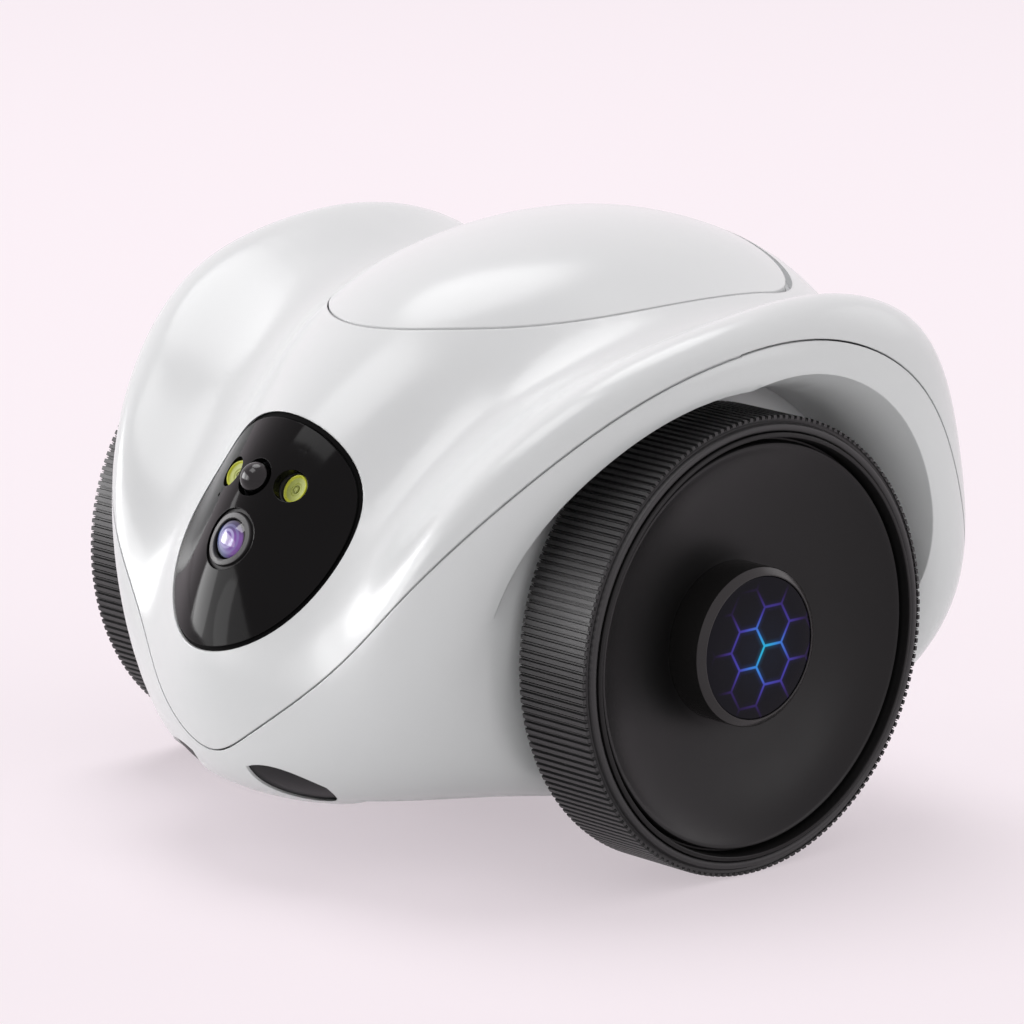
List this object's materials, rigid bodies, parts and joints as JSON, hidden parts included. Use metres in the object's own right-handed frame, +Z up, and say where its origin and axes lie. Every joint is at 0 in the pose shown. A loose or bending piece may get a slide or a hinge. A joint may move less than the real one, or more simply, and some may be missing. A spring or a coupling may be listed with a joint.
{
  "type": "treat tossing pet camera",
  "caption": "Two-wheeled rolling pet camera with a lidded treat hopper, toss rotor, rear outlet flap and rear caster.",
  "frame": {"origin": "on the floor under the middle of the wheel axle", "axes": "+Z up, -Y the way the camera faces, +X to the robot's own left along the wheel axle"},
  "size_m": [0.1738, 0.1786, 0.1355],
  "materials": {
    "shell_white": "glossy",
    "window_black": "glossy",
    "seal_rubber": "matte",
    "ring_grey": "satin",
    "lens_glass": "glossy",
    "sensor_glass": "glossy",
    "lamp_yellow": "glossy",
    "leaf_grey": "satin",
    "tyre_rubber": "matte",
    "rim_black": "satin",
    "hub_light": "glossy",
    "board_green": "satin",
    "steel": "satin",
    "motor_metal": "satin",
    "bracket_steel": "satin",
    "inner_plastic": "matte",
    "hopper_plastic": "satin",
    "rotor_plastic": "satin",
    "button_grey": "satin",
    "caster_grey": "satin"
  },
  "bodies": {
    "root": {"upper_shell": "shell_white", "lower_shell": "shell_white", "camera_window": "window_black", "window_gasket": "seal_rubber", "window_carrier": "inner_plastic", "camera_ring": "ring_grey", "camera_lens": "lens_glass", "sensor_dome": "sensor_glass", "light_cups": "lamp_yellow", "light_emitters": "lamp_yellow", "microphone": "inner_plastic", "camera_module": "inner_plastic", "camera_board": "board_green", "floor_window_left": "leaf_grey", "floor_window_right": "leaf_grey", "floor_sensors": "inner_plastic", "main_board": "board_green", "battery_pack": "motor_metal", "battery_cover": "inner_plastic", "cover_screws": "steel", "shell_screws": "steel", "speaker": "inner_plastic", "charging_socket": "steel", "rear_board": "board_green", "gear_motor_left": "motor_metal", "gear_motor_right": "motor_metal", "motor_bracket_left": "bracket_steel", "motor_bracket_right": "bracket_steel", "axle_bushes": "inner_plastic", "treat_hopper": "hopper_plastic", "rotor_housing": "hopper_plastic", "rotor_motor": "motor_metal", "hinge_pin": "steel", "catch_plate": "steel", "flap_pin": "steel", "flap_spring": "steel"},
    "left_wheel": {"tyre_left": "tyre_rubber", "wheel_rim_left": "rim_black", "hub_cap_left": "rim_black", "hub_light_disc_left": "hub_light", "hub_light_board_left": "board_green", "drive_shaft_left": "steel", "wheel_screw_left": "steel"},
    "right_wheel": {"tyre_right": "tyre_rubber", "wheel_rim_right": "rim_black", "hub_cap_right": "rim_black", "hub_light_disc_right": "hub_light", "hub_light_board_right": "board_green", "drive_shaft_right": "steel", "wheel_screw_right": "steel"},
    "lid": {"treat_lid": "shell_white", "lid_seal": "seal_rubber", "lid_magnet": "steel"},
    "rotor": {"toss_rotor": "rotor_plastic", "rotor_shaft": "steel"},
    "flap": {"outlet_flap": "shell_white"},
    "button": {"power_button": "button_grey"},
    "caster": {"caster_fork": "caster_grey", "caster_axle": "steel"},
    "caster_roller": {"caster_wheel": "tyre_rubber"}
  },
  "joints": [
    {"name": "left_wheel_spin", "type": "hinge", "parent": "root", "child": "left_wheel", "pos_m": [0.0748, 0, 0.052], "axis": [1, 0, 0], "continuous": true},
    {"name": "right_wheel_spin", "type": "hinge", "parent": "root", "child": "right_wheel", "pos_m": [-0.0748, 0, 0.052], "axis": [1, 0, 0], "continuous": true},
    {"name": "lid_hinge", "type": "hinge", "parent": "root", "child": "lid", "pos_m": [0, 0.064, 0.12374], "axis": [-1, 0, 0], "range_deg": [0, 75]},
    {"name": "rotor_spin", "type": "hinge", "parent": "root", "child": "rotor", "pos_m": [0, 0.054, 0.072], "axis": [1, 0, 0], "continuous": true},
    {"name": "flap_hinge", "type": "hinge", "parent": "root", "child": "flap", "pos_m": [0, 0.08637, 0.076], "axis": [1, 0, 0], "range_deg": [0, 65], "stiffness_Nm_per_rad": 0.002, "springref_deg": -28.65},
    {"name": "button_press", "type": "slide", "parent": "root", "child": "button", "axis": [0, -1, 0], "range_m": [0, 0.001], "stiffness_N_per_m": 800, "springref_m": -0.0005},
    {"name": "caster_swivel", "type": "hinge", "parent": "root", "child": "caster", "pos_m": [0, 0.05, 0.0196], "axis": [0, 0, 1], "continuous": true},
    {"name": "caster_roll", "type": "hinge", "parent": "caster", "child": "caster_roller", "pos_m": [0, 0.0535, 0.0075], "axis": [1, 0, 0], "continuous": true}
  ]
}
